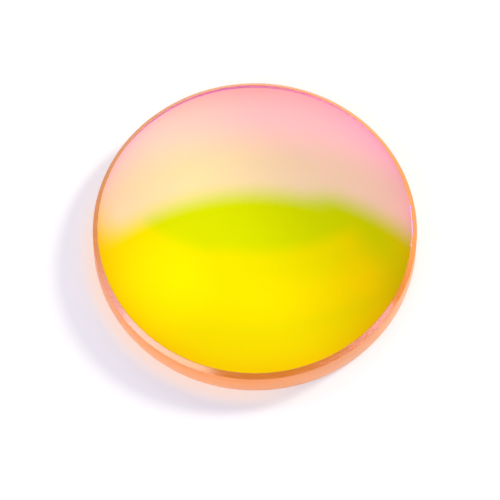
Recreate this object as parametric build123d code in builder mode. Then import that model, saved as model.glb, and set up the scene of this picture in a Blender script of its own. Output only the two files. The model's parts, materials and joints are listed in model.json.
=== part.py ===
"""Plano-convex focusing lens for a carbon dioxide laser, ground from one blank of zinc selenide.

The flat face lies on Z = 0, the optical axis is Z and the convex face looks up.
All lengths are in millimetres.
"""

from build123d import *
import os
from math import asin, degrees, sqrt

DIAMETER = 20.0
EDGE_THICKNESS = 2.3  # at the wall, before the rims are bevelled
FOCAL_LENGTH = 50.8
REFRACTIVE_INDEX = 2.403  # zinc selenide at 10.6 micrometres
BEVEL = 0.3  # 45 degree protective bevel on both rims

# A lens with one flat face focuses at R / (n - 1)
wall_radius = DIAMETER / 2
face_radius = FOCAL_LENGTH * (REFRACTIVE_INDEX - 1)
face_half_angle = degrees(asin(wall_radius / face_radius))
face_center_z = EDGE_THICKNESS - sqrt(face_radius**2 - wall_radius**2)

with BuildPart() as lens:
    with BuildSketch(Plane.XZ):
        with BuildLine():
            convex_face = CenterArc((0, face_center_z), face_radius, 90 - face_half_angle, face_half_angle)
            Polyline(convex_face @ 1, (0, 0), (wall_radius, 0), convex_face @ 0)
        make_face()
    revolve(axis=Axis.Z)
    wall = lens.faces().filter_by(GeomType.CYLINDER)
    chamfer(wall.edges().filter_by(GeomType.CIRCLE), BEVEL)

lens.part.label = "lens"

os.makedirs("parts", exist_ok=True)
export_step(lens.part, "parts/lens.step")
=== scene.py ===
"""Looks of a zinc selenide focusing lens: two coated polished faces, ground bevels and a ground wall.

The lens lies flat face down on a pale table, inside a tent of light that is open and dark overhead.
Lengths are in metres and azimuths in degrees clockwise from +Y, the side away from the camera.
"""

import json
import math
from collections import namedtuple

import bpy
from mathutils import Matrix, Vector


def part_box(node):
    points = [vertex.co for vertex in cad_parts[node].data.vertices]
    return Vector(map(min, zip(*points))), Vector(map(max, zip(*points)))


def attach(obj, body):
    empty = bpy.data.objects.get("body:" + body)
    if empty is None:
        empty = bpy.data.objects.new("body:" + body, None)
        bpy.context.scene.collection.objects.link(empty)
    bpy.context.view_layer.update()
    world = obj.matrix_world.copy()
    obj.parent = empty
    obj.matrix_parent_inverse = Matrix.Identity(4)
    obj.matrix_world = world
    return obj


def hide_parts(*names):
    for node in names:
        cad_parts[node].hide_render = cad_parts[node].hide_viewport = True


MM = 0.001
WHITE = (1.0, 1.0, 1.0, 1.0)
BODY = "root"

# How finely the lens is turned
TURNS = 288
FACE_RINGS = 44
BEVEL_RINGS = 2
WALL_RINGS = 8
ARRIS = 0.025 * MM  # the bevels' corners aren't knife sharp
ARRIS_STEPS = 3
ARRIS_ANGLE = 20  # degrees that a corner turns before it is rounded

# Zinc selenide in visible light, and its coating
GLASS_IOR = 2.6
FILM_IOR = 1.5
FILM_THICKNESS_NM = 465.0
REFLECTION_TINT = (0.72, 0.06, 1.0, 1.0)
ABSORPTION_PER_M = 2500.0
ABSORPTION_COLOR = (0.9988, 0.992, 0.0, 1.0)
GROUND_GLASS_ROUGHNESS = 0.4

# Green part of the glass's tint by share of the face's radius, from the middle outwards
TINT_GREEN = {0.0: 0.91, 0.5: 0.89, 0.7: 0.82, 0.85: 0.75, 0.95: 0.66, 1.0: 0.55}

# Frosted finish that the ground bevels and the ground wall show from outside
FROST_IOR = 1.8
BEVEL_AMBER = (0.72, 0.21, 0.001, 1.0)
BEVEL_FROST = 1.0  # the rest is bare ground glass
BEVEL_ROUGHNESS = 0.16
# The wall's foot is paler than its top: painted light from the bright table below
WALL_AMBER = (0.94, 0.31, 0.02, 1.0)  # at the top of the wall
WALL_PEACH_WITH_PAINTED_LIGHT = (0.97, 0.46, 0.19, 1.0)  # at its foot
WALL_FROST = 0.85
WALL_ROUGHNESS = 0.35

# How far inside the wall's radius the bevel's finish starts and ends its change to the wall's
FINISH_CHANGE_START = 0.04 * MM
FINISH_CHANGE_END = 0.01 * MM

# Grain of the ground surfaces: noise from low to high becomes a speckle from -1 to 1
GRAIN_PER_M = 5000.0
GRAIN_DETAIL = 4.0
GRAIN_LOW = 0.3
GRAIN_HIGH = 0.7
GRAIN_ROUGHNESS = 0.06
GRAIN_SHADE = 0.15
RIPPLE_STRENGTH = 0.25
RIPPLE_HEIGHT = 0.01 * MM

# The table top, and how much of its plain white the camera sees near the lens and further off
TABLE_REACH = 0.6
TABLE_GAP = 0.02 * MM
TABLE_COLOR = (0.95, 0.935, 1.0, 1.0)
TABLE_ROUGHNESS = 0.9
NEAR_WHITE = 0.47
NEAR_WHITE_REACH = 35 * MM
ALL_WHITE_REACH = 110 * MM

# The table seen through the lens: painted shade towards the key lamp, with a painted lighter spot on
# the other side
SHADED_WHITE = 0.72
SHADE_START = -2.5 * MM
SHADE_END = 5.5 * MM
SPOT_GAIN = 0.14
SPOT_OFFSET = 6.7 * MM
SPOT_CORE = 0.5 * MM
SPOT_EDGE = 4.5 * MM

# Painted light: a warm glow painted on the table beside the lens's wall, standing in for light that
# leaves the lens through its wall
HALO_AZIMUTH = 226
HALO_COLOR = (1.04, 0.785, 0.674, 1.0)
HALO_SHARE = 0.85
HALO_START = 0.1 * MM  # out from the wall
HALO_END = 1.3 * MM
HALO_FULL_COSINE = 0.85  # of the angle from the halo's azimuth
HALO_NONE_COSINE = 0.3

# The photograph's camera, seen from the middle of the lens
CAMERA_AZIMUTH = 180
CAMERA_ELEVATION = 66.5
CAMERA_DISTANCE = 290 * MM
FRAME_WIDTH_AT_LENS = 31 * MM
SENSOR_WIDTH_MM = 36
AIM = Vector((-0.3 * MM, -0.5 * MM, 0.0))
CLIP_START = 10 * MM
CLIP_END = 5.0

# Enough bounces for light to find its way out of the glass
MAX_BOUNCES = 24
GLOSSY_BOUNCES = 16

# The key lamp, whose direction and size follow from the shadow
KEY_AZIMUTH = 59
KEY_ELEVATION = 36.5
KEY_DISTANCE = 0.5
KEY_DIAMETER = 0.115
KEY_POWER = 2.2
KEY_COLOR = (1.0, 1.0, 0.72)

# Panels of the light tent, each with soft borders. The azimuth is that of the panel's middle, the
# lowest and highest are elevations, and all but the radiance and the colour are in degrees.
Panel = namedtuple("Panel", "azimuth half_width side_border lowest highest border radiance color")
WARM = (1.02, 1.0, 0.97)
COOL = (1.02, 0.92, 1.65)
PEARL = (1.0, 0.98, 0.78)
PANELS = {
    "back": Panel(
        azimuth=-9.5, half_width=23.5, side_border=5,
        lowest=48, highest=62.4, border=1.8, radiance=2.35, color=WARM,
    ),
    "back_right": Panel(
        azimuth=37, half_width=23, side_border=5,
        lowest=48, highest=61.4, border=1.8, radiance=2.35, color=WARM,
    ),
    "back_low": Panel(
        azimuth=13.5, half_width=46.5, side_border=5,
        lowest=28, highest=48, border=1.8, radiance=1.7, color=WARM,
    ),
    "back_glow": Panel(
        azimuth=-5, half_width=34, side_border=10,
        lowest=50, highest=56, border=3, radiance=0.9, color=WARM,
    ),
    "front": Panel(
        azimuth=180, half_width=75, side_border=2,
        lowest=38, highest=61.5, border=2, radiance=0.9, color=COOL,
    ),
    "strip": Panel(
        azimuth=192, half_width=92, side_border=2,
        lowest=-5, highest=9, border=1, radiance=2.8, color=COOL,
    ),
    "left": Panel(
        azimuth=-70, half_width=30, side_border=2,
        lowest=12, highest=61.5, border=2, radiance=0.4, color=COOL,
    ),
    "card": Panel(
        azimuth=228, half_width=26, side_border=4,
        lowest=4, highest=26, border=3, radiance=4.6, color=PEARL,
    ),
}


def direction(azimuth, elevation):
    """Unit vector towards an azimuth and an elevation in degrees."""
    turn = math.radians(azimuth)
    rise = math.radians(elevation)
    return Vector((math.sin(turn) * math.cos(rise), math.cos(turn) * math.cos(rise), math.sin(rise)))


def lens_sizes(frame):
    """The lens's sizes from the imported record: the ground wall is the mount named edge."""
    edge = next(mount for mount in frame["record"]["mounts"] if mount["name"] == "edge")
    wall_middle = edge["pos_m"][2]
    wall_half = edge["dims"]["length_mm"] * MM / 2
    low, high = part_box("lens")
    return {
        "Radius": edge["dims"]["r_mm"] * MM,
        "Bevel": wall_middle - wall_half,
        "Wall Top": wall_middle + wall_half,
        "Center Thickness": high.z - low.z,
    }


class Graph:
    """The nodes of one tree, with short names for its arithmetic."""

    def __init__(self, tree):
        self.tree = tree

    def new(self, kind):
        return self.tree.nodes.new(kind)

    def feed(self, socket, value):
        """Links an output socket into socket, or sets it where value is a number, colour or vector."""
        if isinstance(value, bpy.types.NodeSocket):
            self.tree.links.new(value, socket)
        else:
            socket.default_value = value

    def math(self, operation, *values):
        node = self.new("ShaderNodeMath")
        node.operation = operation
        for socket, value in zip(node.inputs, values):
            self.feed(socket, value)
        return node.outputs[0]

    def add(self, a, b):
        return self.math("ADD", a, b)

    def less(self, a, b):
        return self.math("SUBTRACT", a, b)

    def times(self, *values):
        total = values[0]
        for value in values[1:]:
            total = self.math("MULTIPLY", total, value)
        return total

    def square(self, value):
        return self.times(value, value)

    def over(self, a, b):
        return self.math("DIVIDE", a, b)

    def length(self, x, y):
        return self.math("SQRT", self.add(self.square(x), self.square(y)))

    def along(self, x, y, unit):
        """How far the point x, y lies in the direction of the unit vector."""
        return self.add(self.times(x, unit.x), self.times(y, unit.y))

    def ramp(self, value, start, end, low, high, smooth=False):
        """value mapped from start..end to low..high, and held there beyond."""
        node = self.new("ShaderNodeMapRange")
        if smooth:
            node.interpolation_type = "SMOOTHSTEP"
        names = ("Value", "From Min", "From Max", "To Min", "To Max")
        for name, given in zip(names, (value, start, end, low, high)):
            self.feed(node.inputs[name], given)
        return node.outputs["Result"]

    def parts(self, vector):
        """The x, y and z of a vector."""
        node = self.new("ShaderNodeSeparateXYZ")
        self.feed(node.inputs[0], vector)
        return tuple(node.outputs)

    def point(self, x, y, z):
        node = self.new("ShaderNodeCombineXYZ")
        for socket, value in zip(node.inputs, (x, y, z)):
            self.feed(socket, value)
        return node.outputs[0]

    def blend(self, share, a, b):
        """Colour a where share is 0 and b where it is 1."""
        node = self.new("ShaderNodeMix")
        node.data_type = "RGBA"
        self.feed(node.inputs["Factor"], share)
        self.feed(node.inputs["A"], a)
        self.feed(node.inputs["B"], b)
        return node.outputs["Result"]

    def mix(self, share, a, b):
        """The first output of shader node a where share is 0, and of b where it is 1."""
        node = self.new("ShaderNodeMixShader")
        self.feed(node.inputs[0], share)
        self.feed(node.inputs[1], a.outputs[0])
        self.feed(node.inputs[2], b.outputs[0])
        return node.outputs[0]

    def moved(self, geometry, selection, position):
        """Geometry with the selected points put at position."""
        node = self.new("GeometryNodeSetPosition")
        self.feed(node.inputs["Geometry"], geometry)
        self.feed(node.inputs["Selection"], selection)
        self.feed(node.inputs["Position"], position)
        return node.outputs["Geometry"]


def turned_lens_tree():
    """A turned blank whose ends are drawn to a dome and a flat, each with its rim bevel."""
    tree = bpy.data.node_groups.new("turned_lens", "GeometryNodeTree")
    for name in ("Radius", "Bevel", "Wall Top", "Center Thickness"):
        tree.interface.new_socket(name, in_out="INPUT", socket_type="NodeSocketFloat")
    for name in ("Turns", "Face Rings", "Bevel Rings", "Wall Rings"):
        tree.interface.new_socket(name, in_out="INPUT", socket_type="NodeSocketInt")
    tree.interface.new_socket("Material", in_out="INPUT", socket_type="NodeSocketMaterial")
    tree.interface.new_socket("Geometry", in_out="OUTPUT", socket_type="NodeSocketGeometry")
    graph = Graph(tree)
    given = graph.new("NodeGroupInput").outputs
    radius = given["Radius"]
    bevel = given["Bevel"]
    wall_top = given["Wall Top"]
    apex = given["Center Thickness"]

    # The blank is 1 in radius and runs from -1 to 1
    blank = graph.new("GeometryNodeMeshCylinder")
    blank.fill_type = "TRIANGLE_FAN"
    rings = graph.add(given["Face Rings"], given["Bevel Rings"])
    graph.feed(blank.inputs["Vertices"], given["Turns"])
    graph.feed(blank.inputs["Side Segments"], given["Wall Rings"])
    graph.feed(blank.inputs["Fill Segments"], rings)
    graph.feed(blank.inputs["Radius"], 1.0)
    graph.feed(blank.inputs["Depth"], 2.0)

    # On an end of the blank, share runs from 0 at the axis to 1 at the rim
    x, y, z = graph.parts(graph.new("GeometryNodeInputPosition").outputs[0])
    share = graph.length(x, y)
    face_share = graph.over(given["Face Rings"], rings)
    face_radius = graph.less(radius, bevel)
    on_face = graph.ramp(share, 0.0, face_share, 0.0, face_radius)
    on_bevel = graph.ramp(share, face_share, 1.0, 0.0, bevel)
    stretch = graph.over(graph.add(on_face, on_bevel), share)
    end_x = graph.times(x, stretch)
    end_y = graph.times(y, stretch)

    # The dome passes through the apex and the circle where the wall would meet it unbevelled
    sag = graph.less(apex, graph.add(wall_top, bevel))
    dome_radius = graph.over(graph.add(graph.square(radius), graph.square(sag)), graph.times(sag, 2.0))

    def dome_height(distance):
        rise = graph.math("SQRT", graph.less(graph.square(dome_radius), graph.square(distance)))
        return graph.add(graph.less(apex, dome_radius), rise)

    bevel_drop = graph.less(dome_height(face_radius), wall_top)
    drop = graph.ramp(share, face_share, 1.0, 0.0, bevel_drop)
    dome_point = graph.point(end_x, end_y, graph.less(dome_height(on_face), drop))
    flat_point = graph.point(end_x, end_y, on_bevel)
    shape = graph.moved(blank.outputs["Mesh"], blank.outputs["Top"], dome_point)
    shape = graph.moved(shape, blank.outputs["Bottom"], flat_point)

    between = graph.new("FunctionNodeBooleanMath")
    between.operation = "NOR"
    graph.feed(between.inputs[0], blank.outputs["Top"])
    graph.feed(between.inputs[1], blank.outputs["Bottom"])
    wall_stretch = graph.over(radius, share)
    wall_z = graph.ramp(z, -1.0, 1.0, bevel, wall_top)
    wall_point = graph.point(graph.times(x, wall_stretch), graph.times(y, wall_stretch), wall_z)
    shape = graph.moved(shape, between.outputs[0], wall_point)

    smooth = graph.new("GeometryNodeSetShadeSmooth")
    graph.feed(smooth.inputs["Geometry"], shape)
    real = graph.new("GeometryNodeRealizeInstances")
    graph.feed(real.inputs["Geometry"], smooth.outputs["Geometry"])
    finish = graph.new("GeometryNodeSetMaterial")
    graph.feed(finish.inputs["Geometry"], real.outputs["Geometry"])
    graph.feed(finish.inputs["Material"], given["Material"])
    graph.feed(graph.new("NodeGroupOutput").inputs["Geometry"], finish.outputs["Geometry"])
    return tree


def turned_lens(sizes, material):
    """The lens as a plain closed mesh."""
    blank = bpy.data.objects.new("lens_blank", bpy.data.meshes.new("lens_blank"))
    bpy.context.scene.collection.objects.link(blank)
    turning = blank.modifiers.new("turning", "NODES")
    turning.node_group = turned_lens_tree()
    values = dict(sizes)
    values["Turns"] = TURNS
    values["Face Rings"] = FACE_RINGS
    values["Bevel Rings"] = BEVEL_RINGS
    values["Wall Rings"] = WALL_RINGS
    values["Material"] = material
    for item in turning.node_group.interface.items_tree:
        if item.in_out == "INPUT":
            turning[item.identifier] = values[item.name]
    arris = blank.modifiers.new("arris", "BEVEL")
    arris.width = ARRIS
    arris.segments = ARRIS_STEPS
    arris.limit_method = "ANGLE"
    arris.angle_limit = math.radians(ARRIS_ANGLE)
    arris.harden_normals = True
    view = bpy.context.evaluated_depsgraph_get()
    finished = blank.evaluated_get(view)
    mesh = bpy.data.meshes.new_from_object(finished, preserve_all_data_layers=True, depsgraph=view)
    bpy.data.objects.remove(blank)
    mesh.name = "focusing_lens"
    lens = bpy.data.objects.new("focusing_lens", mesh)
    bpy.context.scene.collection.objects.link(lens)
    return lens


def coated_glass(graph, away, face_radius, ground):
    """The glass under its coating, warmer towards the rim and rough where ground is 1."""
    glass = graph.new("ShaderNodeBsdfPrincipled")
    glass.inputs["IOR"].default_value = GLASS_IOR
    glass.inputs["Transmission Weight"].default_value = 1.0
    glass.inputs["Thin Film Thickness"].default_value = FILM_THICKNESS_NM
    glass.inputs["Thin Film IOR"].default_value = FILM_IOR
    glass.inputs["Specular Tint"].default_value = REFLECTION_TINT
    graph.feed(glass.inputs["Roughness"], graph.ramp(ground, 0.0, 1.0, 0.0, GROUND_GLASS_ROUGHNESS))

    # A new ramp has two stops
    tint = graph.new("ShaderNodeValToRGB")
    stops = tint.color_ramp.elements
    for count, (place, green) in enumerate(TINT_GREEN.items()):
        stop = stops[count] if count < 2 else stops.new(place)
        stop.position = place
        stop.color = (1.0, green, 1.0, 1.0)
    graph.feed(tint.inputs["Fac"], graph.over(away, face_radius))
    graph.feed(glass.inputs["Base Color"], tint.outputs["Color"])
    return glass


def frosted_finish(graph, place, on_wall, painted_table_light):
    """The outside of the bevels and the wall, which is amber and grows paler down the wall with
    painted light from the bright table below.
    """
    grain = graph.new("ShaderNodeTexNoise")
    graph.feed(grain.inputs["Vector"], place)
    grain.inputs["Scale"].default_value = GRAIN_PER_M
    grain.inputs["Detail"].default_value = GRAIN_DETAIL
    speckle = graph.ramp(grain.outputs["Fac"], GRAIN_LOW, GRAIN_HIGH, -1.0, 1.0)

    frost = graph.new("ShaderNodeBsdfPrincipled")
    frost.inputs["IOR"].default_value = FROST_IOR
    roughness = graph.ramp(on_wall, 0.0, 1.0, BEVEL_ROUGHNESS, WALL_ROUGHNESS)
    graph.feed(frost.inputs["Roughness"], graph.add(roughness, graph.times(speckle, GRAIN_ROUGHNESS)))
    ripple = graph.new("ShaderNodeBump")
    ripple.inputs["Strength"].default_value = RIPPLE_STRENGTH
    ripple.inputs["Distance"].default_value = RIPPLE_HEIGHT
    graph.feed(ripple.inputs["Height"], speckle)
    graph.feed(frost.inputs["Normal"], ripple.outputs["Normal"])
    # Painted light: the wall grows paler towards its foot as if lit by the bright table below, and the
    # grain varies its tone at random
    painted_light_and_grain = graph.add(painted_table_light, graph.times(speckle, GRAIN_SHADE))
    wall_color_with_painted_light = graph.blend(painted_light_and_grain, WALL_AMBER, WALL_PEACH_WITH_PAINTED_LIGHT)
    graph.feed(frost.inputs["Base Color"], graph.blend(on_wall, BEVEL_AMBER, wall_color_with_painted_light))
    return frost


def zinc_selenide(sizes):
    """Coated glass on the faces, frosted on the outside of the bevels and the wall."""
    material = bpy.data.materials.new("zinc_selenide")
    material.use_nodes = True
    material.node_tree.nodes.clear()
    graph = Graph(material.node_tree)
    place = graph.new("ShaderNodeTexCoord").outputs["Object"]
    x, y, z = graph.parts(place)
    away = graph.length(x, y)
    radius = sizes["Radius"]
    face_radius = radius - sizes["Bevel"]
    ground = graph.ramp(away, face_radius - ARRIS / 2, face_radius + ARRIS / 2, 0.0, 1.0)
    on_wall = graph.ramp(away, radius - FINISH_CHANGE_START, radius - FINISH_CHANGE_END, 0.0, 1.0)
    # Share of painted light from the table: 1 at the wall's foot and 0 at its top
    painted_table_light = graph.ramp(z, sizes["Bevel"], sizes["Wall Top"], 1.0, 0.0)
    glass = coated_glass(graph, away, face_radius, ground)
    frost = frosted_finish(graph, place, on_wall, painted_table_light)

    # From inside the glass the ground edge lets light out, so only its outside looks frosted
    outside = graph.less(1.0, graph.new("ShaderNodeNewGeometry").outputs["Backfacing"])
    frosted = graph.ramp(on_wall, 0.0, 1.0, BEVEL_FROST, WALL_FROST)
    surface = graph.mix(graph.times(ground, outside, frosted), glass, frost)
    absorb = graph.new("ShaderNodeVolumeAbsorption")
    absorb.inputs["Color"].default_value = ABSORPTION_COLOR
    absorb.inputs["Density"].default_value = ABSORPTION_PER_M
    output = graph.new("ShaderNodeOutputMaterial")
    graph.feed(output.inputs["Surface"], surface)
    graph.feed(output.inputs["Volume"], absorb.outputs[0])
    return material


def table_paint(sizes):
    """Pale paint that keeps shadows, with a painted warm glow beside the lens's wall, and plain white
    where it is seen through the lens, with painted shade and a painted lighter spot.
    """
    material = bpy.data.materials.new("table")
    material.use_nodes = True
    nodes = material.node_tree.nodes
    graph = Graph(material.node_tree)
    paint = nodes["Principled BSDF"]
    paint.inputs["Base Color"].default_value = TABLE_COLOR
    paint.inputs["Roughness"].default_value = TABLE_ROUGHNESS
    paint.inputs["Specular IOR Level"].default_value = 0.0
    glow = graph.new("ShaderNodeEmission")
    path = graph.new("ShaderNodeLightPath").outputs
    seen_through = path["Is Transmission Ray"]
    seen_bare = path["Is Camera Ray"]
    x, y, _ = graph.parts(graph.new("ShaderNodeTexCoord").outputs["Object"])
    away = graph.length(x, y)

    # Beside the wall the camera sees more of the glow, in a warm colour: painted light from the lens's
    # wall
    facing = graph.over(graph.along(x, y, direction(HALO_AZIMUTH, 0)), away)
    around = graph.ramp(facing, HALO_NONE_COSINE, HALO_FULL_COSINE, 0.0, 1.0, smooth=True)
    halo_start = sizes["Radius"] + HALO_START
    halo_end = sizes["Radius"] + HALO_END
    halo = graph.times(around, graph.ramp(away, halo_start, halo_end, 1.0, 0.0, smooth=True))
    near_share = graph.ramp(halo, 0.0, 1.0, NEAR_WHITE, HALO_SHARE)
    bare_share = graph.ramp(away, NEAR_WHITE_REACH, ALL_WHITE_REACH, near_share, 1.0, smooth=True)
    glow_share = graph.math("MAXIMUM", seen_through, graph.times(seen_bare, bare_share))
    graph.feed(glow.inputs["Color"], graph.blend(graph.times(halo, seen_bare), WHITE, HALO_COLOR))

    # Painted shade and a painted spot of light on the table seen through the lens, for the key light
    # that the lens's ground edge keeps from the table under its near side and that gathers under its
    # far side
    key_side = direction(KEY_AZIMUTH, 0)
    toward_key = graph.along(x, y, key_side)
    aside = graph.less(graph.times(x, key_side.y), graph.times(y, key_side.x))
    from_spot = graph.length(graph.add(toward_key, SPOT_OFFSET), aside)
    spot = graph.ramp(from_spot, SPOT_CORE, SPOT_EDGE, SPOT_GAIN, 0.0, smooth=True)
    shade = graph.ramp(toward_key, SHADE_START, SHADE_END, 1.0, SHADED_WHITE, smooth=True)
    dimming = graph.times(seen_through, graph.less(1.0, graph.add(shade, spot)))
    graph.feed(glow.inputs["Strength"], graph.less(1.0, dimming))
    graph.feed(nodes["Material Output"].inputs["Surface"], graph.mix(glow_share, paint, glow))
    return material


def table(sizes):
    """A table top just under the lens's flat face."""
    mesh = bpy.data.meshes.new("table")
    sides = ((-1, -1), (1, -1), (1, 1), (-1, 1))
    corners = [(x * TABLE_REACH, y * TABLE_REACH, -TABLE_GAP) for x, y in sides]
    mesh.from_pydata(corners, [], [(0, 1, 2, 3)])
    mesh.materials.append(table_paint(sizes))
    top = bpy.data.objects.new("table", mesh)
    bpy.context.scene.collection.objects.link(top)


def panel_group():
    """A patch of even light with soft borders, seen by direction."""
    tree = bpy.data.node_groups.new("light_panel", "ShaderNodeTree")
    tree.interface.new_socket("Direction", in_out="INPUT", socket_type="NodeSocketVector")
    for name in ("Azimuth", "Half Width", "Side Border", "Lowest", "Highest", "Border"):
        tree.interface.new_socket(name, in_out="INPUT", socket_type="NodeSocketFloat")
    tree.interface.new_socket("Share", in_out="OUTPUT", socket_type="NodeSocketFloat")
    graph = Graph(tree)
    given = graph.new("NodeGroupInput").outputs
    x, y, z = graph.parts(given["Direction"])
    turn = graph.math("RADIANS", given["Azimuth"])
    sine = graph.math("SINE", turn)
    cosine = graph.math("COSINE", turn)
    ahead = graph.add(graph.times(x, sine), graph.times(y, cosine))
    aside = graph.less(graph.times(x, cosine), graph.times(y, sine))
    off_axis = graph.math("ABSOLUTE", graph.math("DEGREES", graph.math("ARCTAN2", aside, ahead)))
    elevation = graph.math("DEGREES", graph.math("ARCSINE", z))

    def past(value, limit, border, low, high):
        start = graph.less(limit, border)
        end = graph.add(limit, border)
        return graph.ramp(value, start, end, low, high, smooth=True)

    sides = past(off_axis, given["Half Width"], given["Side Border"], 1.0, 0.0)
    bottom = past(elevation, given["Lowest"], given["Border"], 0.0, 1.0)
    top = past(elevation, given["Highest"], given["Border"], 1.0, 0.0)
    graph.feed(graph.new("NodeGroupOutput").inputs["Share"], graph.times(sides, bottom, top))
    return tree


def light_tent():
    """The panels as the world's light, with plain white behind the table for the camera."""
    world = bpy.data.worlds.new("light_tent")
    bpy.context.scene.world = world
    world.use_nodes = True
    graph = Graph(world.node_tree)
    looking = graph.new("ShaderNodeTexCoord").outputs["Generated"]
    group = panel_group()
    total = (0.0, 0.0, 0.0)
    for name, panel in PANELS.items():
        patch = graph.new("ShaderNodeGroup")
        patch.name = name
        patch.node_tree = group
        graph.feed(patch.inputs["Direction"], looking)
        graph.feed(patch.inputs["Azimuth"], panel.azimuth)
        graph.feed(patch.inputs["Half Width"], panel.half_width)
        graph.feed(patch.inputs["Side Border"], panel.side_border)
        graph.feed(patch.inputs["Lowest"], panel.lowest)
        graph.feed(patch.inputs["Highest"], panel.highest)
        graph.feed(patch.inputs["Border"], panel.border)
        lit = graph.new("ShaderNodeVectorMath")
        lit.operation = "SCALE"
        graph.feed(lit.inputs[0], [part * panel.radiance for part in panel.color])
        graph.feed(lit.inputs["Scale"], patch.outputs["Share"])
        sum_so_far = graph.new("ShaderNodeVectorMath")
        sum_so_far.operation = "ADD"
        graph.feed(sum_so_far.inputs[0], total)
        graph.feed(sum_so_far.inputs[1], lit.outputs[0])
        total = sum_so_far.outputs[0]
    seen_bare = graph.new("ShaderNodeLightPath").outputs["Is Camera Ray"]
    background = world.node_tree.nodes["Background"]
    graph.feed(background.inputs["Color"], graph.blend(seen_bare, total, WHITE))


def key_lamp():
    """The one lamp that casts the lens's shadow."""
    data = bpy.data.lights.new("key", "AREA")
    data.shape = "DISK"
    data.size = KEY_DIAMETER
    data.energy = KEY_POWER
    data.color = KEY_COLOR
    lamp = bpy.data.objects.new("key", data)
    bpy.context.scene.collection.objects.link(lamp)
    out = direction(KEY_AZIMUTH, KEY_ELEVATION)
    lamp.location = out * KEY_DISTANCE
    lamp.rotation_euler = out.to_track_quat("Z", "Y").to_euler()


def camera():
    """The photograph's view."""
    data = bpy.data.cameras.new("camera")
    data.sensor_width = SENSOR_WIDTH_MM
    data.lens = SENSOR_WIDTH_MM * CAMERA_DISTANCE / FRAME_WIDTH_AT_LENS
    data.clip_start = CLIP_START
    data.clip_end = CLIP_END
    eye = bpy.data.objects.new("camera", data)
    bpy.context.scene.collection.objects.link(eye)
    bpy.context.scene.camera = eye
    back = direction(CAMERA_AZIMUTH, CAMERA_ELEVATION)
    eye.location = AIM + back * CAMERA_DISTANCE
    eye.rotation_mode = "QUATERNION"
    eye.rotation_quaternion = (-back).to_track_quat("-Z", "Y")


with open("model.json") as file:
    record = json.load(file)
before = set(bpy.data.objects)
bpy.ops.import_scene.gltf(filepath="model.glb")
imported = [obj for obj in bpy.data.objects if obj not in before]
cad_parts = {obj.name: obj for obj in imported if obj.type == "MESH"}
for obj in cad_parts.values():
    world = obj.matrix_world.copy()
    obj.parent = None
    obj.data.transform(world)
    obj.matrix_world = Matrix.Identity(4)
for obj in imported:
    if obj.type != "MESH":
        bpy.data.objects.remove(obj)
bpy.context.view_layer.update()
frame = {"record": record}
sizes = lens_sizes(frame)
lens = turned_lens(sizes, zinc_selenide(sizes))
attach(lens, BODY)
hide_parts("lens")
table(sizes)
light_tent()
key_lamp()
camera()
scene = bpy.context.scene
scene.view_settings.view_transform = "Standard"
scene.cycles.max_bounces = MAX_BOUNCES
scene.cycles.glossy_bounces = GLOSSY_BOUNCES
scene.cycles.transmission_bounces = MAX_BOUNCES
